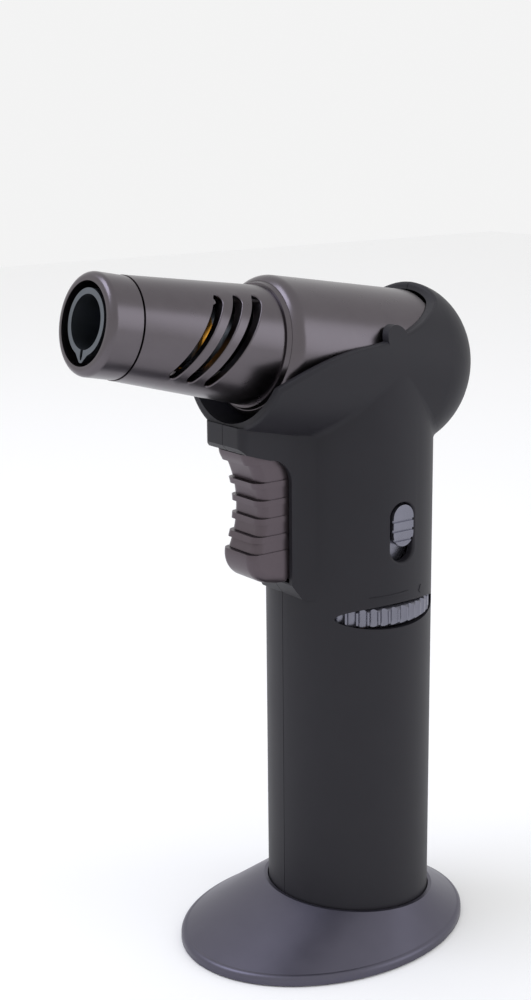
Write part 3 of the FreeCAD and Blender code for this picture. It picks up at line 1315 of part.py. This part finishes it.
# ---------------------------------------------------------------- hose and wire
def bent_tube(name, label, points, radius):
    """A tube along straight runs joined by tangent arcs, each as large as its runs allow."""
    spots = [FreeCAD.Vector(*p) for p in points]
    edges = []
    start = spots[0]
    for i in range(1, len(spots) - 1):
        back = spots[i - 1] - spots[i]
        ahead = spots[i + 1] - spots[i]
        bend = math.pi - back.getAngle(ahead)
        arc_radius = 0.45 * min(back.Length, ahead.Length) / math.tan(bend / 2)
        reach = arc_radius * math.tan(bend / 2)
        enter = spots[i] + back.normalize() * reach
        leave = spots[i] + ahead.normalize() * reach
        inward = (back + ahead).normalize()
        middle = spots[i] + inward * (arc_radius / math.cos(bend / 2) - arc_radius)
        edges.append(Part.LineSegment(start, enter).toShape())
        edges.append(Part.Arc(enter, middle, leave).toShape())
        print(label, "arc radius", round(arc_radius, 2))
        start = leave
    edges.append(Part.LineSegment(start, spots[-1]).toShape())
    path = Part.Wire(edges)
    ring = Part.Wire([Part.Circle(spots[0], spots[1] - spots[0], radius).toShape()])
    solid = path.makePipeShell([ring], True, True)
    item = doc.addObject("Part::Feature", name)
    item.Shape = solid
    expected = math.pi * radius ** 2 * path.Length
    print(label, "volume over section times length", round(solid.Volume / expected, 4))
    finish(item, label)


def on_axis(along, up, side):
    tilt = math.radians(size("nozzle_tilt"))
    return (-along * math.cos(tilt) + up * math.sin(tilt), side,
            size("axis_height") + along * math.sin(tilt) + up * math.cos(tilt))


def make_lines():
    valve_y = -size("wheel_offset")
    nipple_end = size("valve_radius") + size("nipple_length")
    hose_start = (nipple_end, valve_y, size("nipple_height"))
    hose_end = on_axis(-size("holder_rear") - size("nipple_length"), size("burner_rise"), 0.0)
    bent_tube("hose", "gas_hose", [
        hose_start,
        (14.3, valve_y, size("nipple_height")),
        (14.4, valve_y, 96.0),
        (14.2, valve_y, 106.0),
        (14.3, valve_y - 0.3, 118.0),
        (15.6, valve_y, 128.0),
        on_axis(-19.5, -4.5, -2.0),
        on_axis(-17.5, size("burner_rise"), 0.0),
        hose_end,
    ], size("hose_radius"))
    piezo_rear = size("piezo_front") - 5.5 + size("piezo_length")
    piezo_y = size("piezo_offset") + 1.0
    wire_end = on_axis(size("insulator_rear"), -size("insulator_drop"), 0.0)
    bent_tube("wire", "ignition_wire", [
        (piezo_rear, piezo_y, size("piezo_bottom") + 8.0),
        (piezo_rear + 1.8, piezo_y, size("piezo_bottom") + 8.0),
        (piezo_rear + 1.4, piezo_y - 0.5, 118.0),
        (16.4, piezo_y - 1.0, 125.0),
        on_axis(-16.5, -9.8, 3.2),
        on_axis(-11.0, -8.3, 1.2),
        on_axis(-1.0, -size("insulator_drop"), 0.0),
        wire_end,
    ], 0.8)


def make_everything():
    make_shells()
    make_case_screws()
    make_collar()
    make_barrel()
    make_tip()
    make_burner()
    make_burner_inside()
    make_trigger()
    make_lock()
    make_wheel()
    make_tank()
    make_valves()
    make_foot()
    make_igniter()
    make_lever()
    make_lines()


make_everything()
doc.recompute()
faults = []
for item in doc.Objects:
    if "Invalid" in item.State or "Error" in item.State:
        faults.append(item.Name)
for item in finished:
    if item.Shape.isNull() or not item.Shape.isValid():
        faults.append(item.Label + " shape")
if faults:
    raise RuntimeError("failed: " + ", ".join(faults))
for item in finished:
    item.Shape.exportStep("parts/%s.step" % item.Label)
    print(item.Label, len(item.Shape.Solids), round(item.Shape.Volume, 1))
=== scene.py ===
import bpy
import json
import math
from mathutils import Matrix, Vector


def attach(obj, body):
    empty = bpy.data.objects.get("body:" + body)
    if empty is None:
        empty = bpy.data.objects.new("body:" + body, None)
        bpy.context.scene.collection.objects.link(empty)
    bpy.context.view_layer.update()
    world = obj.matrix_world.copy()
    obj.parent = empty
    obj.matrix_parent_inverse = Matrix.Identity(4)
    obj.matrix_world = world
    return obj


# Butane torch standing on its foot: black soft-touch grip, dark chrome nozzle, gunmetal trigger.
# Metres, +Z up, nozzle towards -X, controls towards -Y.

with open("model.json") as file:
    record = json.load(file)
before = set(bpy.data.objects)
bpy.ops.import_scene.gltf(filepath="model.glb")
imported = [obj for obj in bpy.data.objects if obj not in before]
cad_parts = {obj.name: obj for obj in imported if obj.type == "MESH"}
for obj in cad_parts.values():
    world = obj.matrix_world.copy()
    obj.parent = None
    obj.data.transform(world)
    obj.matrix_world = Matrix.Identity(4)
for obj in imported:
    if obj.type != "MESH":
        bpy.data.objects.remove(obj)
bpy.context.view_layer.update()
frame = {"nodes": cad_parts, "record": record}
nodes = frame["nodes"]
mm = 0.001
print("frame loaded")


# ---- small helpers

def deselect():
    if bpy.context.mode != "OBJECT":
        bpy.ops.object.mode_set(mode="OBJECT")
    bpy.ops.object.select_all(action="DESELECT")


def linear(hexColor):
    values = []
    for i in (0, 2, 4):
        c = int(hexColor[i:i + 2], 16) / 255
        values.append(c / 12.92 if c <= 0.04045 else ((c + 0.055) / 1.055) ** 2.4)
    return (*values, 1.0)


def node(tree, kind, settings=None, links=None):
    made = tree.nodes.new(kind)
    for key, value in (settings or {}).items():
        if key in made.inputs:
            made.inputs[key].default_value = value
        else:
            setattr(made, key, value)
    for key, source in (links or {}).items():
        tree.links.new(source, made.inputs[key])
    return made


def blankMaterial(name):
    material = bpy.data.materials.new(name)
    material.use_nodes = True
    tree = material.node_tree
    tree.nodes.clear()
    shader = tree.nodes.new("ShaderNodeBsdfPrincipled")
    output = tree.nodes.new("ShaderNodeOutputMaterial")
    tree.links.new(shader.outputs["BSDF"], output.inputs["Surface"])
    coords = tree.nodes.new("ShaderNodeTexCoord")
    return material, tree, shader, coords.outputs["Object"]


def dress(piece, material):
    piece.data.materials.clear()
    piece.data.materials.append(material)


def mottle(tree, shader, cloud, tone):
    # colour and roughness drift together between each pair of values in tone
    color = node(tree, "ShaderNodeMix", {"data_type": "RGBA"}, {"Factor": cloud.outputs["Fac"]})
    color.inputs["A"].default_value = linear(tone["dark"])
    color.inputs["B"].default_value = linear(tone["light"])
    tree.links.new(color.outputs["Result"], shader.inputs["Base Color"])
    rough = node(tree, "ShaderNodeMapRange", {"To Min": tone["roughLow"], "To Max": tone["roughHigh"]},
                 {"Value": cloud.outputs["Fac"]})
    tree.links.new(rough.outputs["Result"], shader.inputs["Roughness"])


def roughen(tree, shader, place, strength, grainMm):
    # fine grain pressed or sprayed into the surface, 0.02 mm deep at full strength
    grain = node(tree, "ShaderNodeTexNoise", {"Scale": 1 / (grainMm * mm), "Detail": 2.0},
                 {"Vector": place})
    bump = node(tree, "ShaderNodeBump", {"Strength": strength, "Distance": 0.02 * mm},
                {"Height": grain.outputs["Fac"]})
    tree.links.new(bump.outputs["Normal"], shader.inputs["Normal"])


# ---- materials

def softTouchAbs(name, tone):
    # moulded ABS under a matt soft-touch coat: near black, broad dim highlights, very fine grain;
    # the IOR is set below ABS's 1.5, to keep the grip's edges from shining
    material, tree, shader, place = blankMaterial(name)
    cloud = node(tree, "ShaderNodeTexNoise", {"Scale": 1 / (9 * mm), "Detail": 4.0, "Roughness": 0.55},
                 {"Vector": place})
    mottle(tree, shader, cloud, tone)
    # sprayed grain about 0.12 mm, drawn at 0.2 mm so that it shows
    roughen(tree, shader, place, tone["grain"], 0.2)
    shader.inputs["IOR"].default_value = 1.3
    return material


def darkChromePlate(name, tone):
    # gunmetal plating on a polished die casting: soft broad reflections, with faint polishing haze
    material, tree, shader, place = blankMaterial(name)
    haze = node(tree, "ShaderNodeTexNoise", {"Scale": 1 / (4 * mm), "Detail": 5.0, "Roughness": 0.6},
                {"Vector": place})
    mottle(tree, shader, haze, tone)
    shader.inputs["Metallic"].default_value = 1.0
    return material


def plainCoat(name, tone):
    # one-colour part: mottling about 5 mm across, and a grain of about 0.25 mm, coarser than the
    # real one so that it shows
    material, tree, shader, place = blankMaterial(name)
    cloud = node(tree, "ShaderNodeTexNoise", {"Scale": 1 / (5 * mm), "Detail": 4.0}, {"Vector": place})
    mottle(tree, shader, cloud, tone)
    roughen(tree, shader, place, tone.get("grain", 0.1), tone.get("grainMm", 0.25))
    shader.inputs["Metallic"].default_value = tone.get("metallic", 0.0)
    return material


softBlack = softTouchAbs("soft touch ABS, black", {
    "dark": "222126", "light": "27262b", "roughLow": 0.46, "roughHigh": 0.54, "grain": 0.2})
darkChrome = darkChromePlate("dark chrome plate", {
    "dark": "5d585c", "light": "656064", "roughLow": 0.25, "roughHigh": 0.32})
gunmetalPlastic = plainCoat("metallised gunmetal ABS", {
    "dark": "544c51", "light": "5c5358", "roughLow": 0.30, "roughHigh": 0.40, "metallic": 0.8,
    "grain": 0.12})
satinGunmetal = plainCoat("satin gunmetal coat", {
    "dark": "565460", "light": "5c5a66", "roughLow": 0.34, "roughHigh": 0.42, "metallic": 0.85,
    "grain": 0.15})
wheelSilver = plainCoat("metallised silver ABS", {
    "dark": "6e6e78", "light": "7b7b86", "roughLow": 0.24, "roughHigh": 0.32, "metallic": 0.9})
stainless = plainCoat("heat-toned stainless tube", {
    "dark": "5f646a", "light": "6b7077", "roughLow": 0.34, "roughHigh": 0.46, "metallic": 1.0})
zincSteel = plainCoat("zinc plated steel", {
    "dark": "b4b4b2", "light": "c2c1bf", "roughLow": 0.28, "roughHigh": 0.4, "metallic": 1.0})
turnedBrass = plainCoat("turned brass", {
    "dark": "c48a34", "light": "d69a40", "roughLow": 0.25, "roughHigh": 0.35, "metallic": 1.0})
glazedCeramic = plainCoat("glazed ceramic", {
    "dark": "e6e2d8", "light": "efebe2", "roughLow": 0.2, "roughHigh": 0.3})
milkyNylon = plainCoat("milky nylon", {
    "dark": "c9c8be", "light": "d4d3ca", "roughLow": 0.35, "roughHigh": 0.45})
mattRubber = plainCoat("moulded rubber", {
    "dark": "1d1d1f", "light": "232325", "roughLow": 0.65, "roughHigh": 0.8, "grain": 0.5,
    "grainMm": 0.4})
blackNylon = plainCoat("moulded black nylon", {
    "dark": "202022", "light": "28282a", "roughLow": 0.45, "roughHigh": 0.6, "grain": 0.3})
whiteAcetal = plainCoat("moulded acetal", {
    "dark": "dddbd3", "light": "e6e4dc", "roughLow": 0.35, "roughHigh": 0.45})
clearVinyl = plainCoat("soft vinyl tube", {
    "dark": "b9b498", "light": "c4bfa5", "roughLow": 0.3, "roughHigh": 0.4})
redSilicone = plainCoat("red silicone", {
    "dark": "8a1d16", "light": "9b241c", "roughLow": 0.4, "roughHigh": 0.5})

finishOfSlot = {
    "soft_black": softBlack, "dark_chrome": darkChrome, "satin_gunmetal": satinGunmetal,
    "gunmetal_plastic": gunmetalPlastic, "burner_steel": stainless, "steel": zincSteel,
    "brass": turnedBrass, "ceramic": glazedCeramic, "tank_plastic": milkyNylon,
    "rubber": mattRubber, "black_plastic": blackNylon, "white_plastic": whiteAcetal,
    "clear_hose": clearVinyl, "wire_red": redSilicone,
}
for subpart in frame["record"]["subparts"]:
    dress(nodes[subpart["node"]], finishOfSlot[subpart["material_slot"]])
for label in ("adjuster_wheel", "lock_slide"):
    dress(nodes[label], wheelSilver)
print("materials made")


# ---- raised marks on the grip above the adjuster wheel

gripMarks = {
    "radius": 20.1 * mm,
    "proud": 0.12 * mm,
    "sunk": 0.15 * mm,
    "sides": 360,
    "ringHeight": 4 * mm,
    "weld": 1e-7,
    # corners of each mark seen from the front, as (x, z) in mm, going round anticlockwise
    "flow_wedge_mark": [(-8.7, 89.35), (1.8, 88.95), (1.8, 89.85)],
    "flame_mark": [(6.3, 88.2), (7.05, 88.9), (6.45, 90.3), (5.75, 88.9)],
}


def raisedMark(name):
    # a thin ring round the grip, trimmed to the mark's outline and thickened inwards
    corners = [Vector((x * mm, 0, z * mm)) for x, z in gripMarks[name]]
    middle = sum(corners, Vector()) / len(corners)
    deselect()
    bpy.ops.mesh.primitive_cylinder_add(
        vertices=gripMarks["sides"], radius=gripMarks["radius"] + gripMarks["proud"],
        depth=gripMarks["ringHeight"],
        end_fill_type="NOTHING", location=(0, 0, middle.z))
    mark = bpy.context.object
    mark.name = name
    bpy.ops.object.transform_apply(location=True, rotation=False, scale=False)
    bpy.ops.object.mode_set(mode="EDIT")
    bpy.ops.mesh.select_all(action="SELECT")
    bpy.ops.mesh.bisect(plane_co=(0, 0, 0), plane_no=(0, 1, 0), clear_outer=True)
    for i, corner in enumerate(corners):
        along = corners[(i + 1) % len(corners)] - corner
        outwards = Vector((along.z, 0, -along.x)).normalized()
        bpy.ops.mesh.select_all(action="SELECT")
        bpy.ops.mesh.bisect(plane_co=corner, plane_no=outwards, clear_outer=True,
                            threshold=gripMarks["weld"])
    bpy.ops.mesh.select_all(action="SELECT")
    bpy.ops.mesh.normals_make_consistent(inside=False)
    bpy.ops.object.mode_set(mode="OBJECT")
    wall = mark.modifiers.new("wall", "SOLIDIFY")
    wall.thickness = gripMarks["proud"] + gripMarks["sunk"]
    wall.offset = -1
    bpy.ops.object.modifier_apply(modifier="wall")
    dress(mark, softBlack)
    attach(mark, "case")


raisedMark("flow_wedge_mark")
raisedMark("flame_mark")
print("grip marks made")


# ---- camera

camera = {
    "place": (-0.24026, -0.29458, 0.20088),
    "yaw": 36.187,
    "pitch": 13.714,
    "roll": -0.581,
    "lens": 58.416,
    "sensor": 36,
    "clipStart": 0.01,
}


def addCamera():
    yaw, pitch, roll = (math.radians(camera[k]) for k in ("yaw", "pitch", "roll"))
    ahead = math.cos(pitch)
    forward = Vector((math.sin(yaw) * ahead, math.cos(yaw) * ahead, -math.sin(pitch)))
    level = forward.cross(Vector((0, 0, 1))).normalized()
    upright = level.cross(forward)
    right = level * math.cos(roll) + upright * math.sin(roll)
    up = upright * math.cos(roll) - level * math.sin(roll)
    turn = Matrix((right, up, -forward)).transposed()
    data = bpy.data.cameras.new("camera")
    data.lens = camera["lens"]
    data.sensor_width = camera["sensor"]
    data.clip_start = camera["clipStart"]
    view = bpy.data.objects.new("camera", data)
    bpy.context.scene.collection.objects.link(view)
    view.matrix_world = Matrix.Translation(camera["place"]) @ turn.to_4x4()
    bpy.context.scene.camera = view


addCamera()


# ---- stage and light

stageSizes = {"half": 1.6, "rough": 0.9, "floorHex": "fafafa"}
roomLight = {"hex": "ffffff", "strength": 0.9}
softboxes = {
    "key": {"place": (-0.45, 0.25, 0.85), "aim": (-0.02, 0, 0.12), "size": (0.5, 0.5), "watts": 3,
            "hex": "e8ecff"},
    "fill": {"place": (0.5, -0.6, 0.35), "aim": (0, 0, 0.08), "size": (0.4, 0.6), "watts": 1,
             "hex": "f2f5ff"},
}


def addStage():
    deselect()
    bpy.ops.mesh.primitive_plane_add(size=2 * stageSizes["half"], location=(0, 0, 0))
    floor = bpy.context.object
    floor.name = "floor"
    material, tree, shader, place = blankMaterial("pale paper floor")
    shader.inputs["Base Color"].default_value = linear(stageSizes["floorHex"])
    shader.inputs["Roughness"].default_value = stageSizes["rough"]
    dress(floor, material)


def addAreaLight(name, lamp):
    data = bpy.data.lights.new(name, "AREA")
    data.shape = "RECTANGLE"
    data.size, data.size_y = lamp["size"]
    data.energy = lamp["watts"]
    data.color = linear(lamp["hex"])[:3]
    panel = bpy.data.objects.new(name, data)
    bpy.context.scene.collection.objects.link(panel)
    panel.location = lamp["place"]
    aim = Vector(lamp["aim"]) - Vector(lamp["place"])
    panel.rotation_euler = aim.to_track_quat("-Z", "Y").to_euler()


def addLight():
    world = bpy.data.worlds.new("studio")
    bpy.context.scene.world = world
    world.use_nodes = True
    back = world.node_tree.nodes["Background"]
    back.inputs["Color"].default_value = linear(roomLight["hex"])
    back.inputs["Strength"].default_value = roomLight["strength"]
    for name, lamp in softboxes.items():
        addAreaLight(name, lamp)
    # plain sRGB tones, so that the hex colours come out as they are written
    bpy.context.scene.view_settings.view_transform = "Standard"


addStage()
addLight()
print("camera, stage and light made")
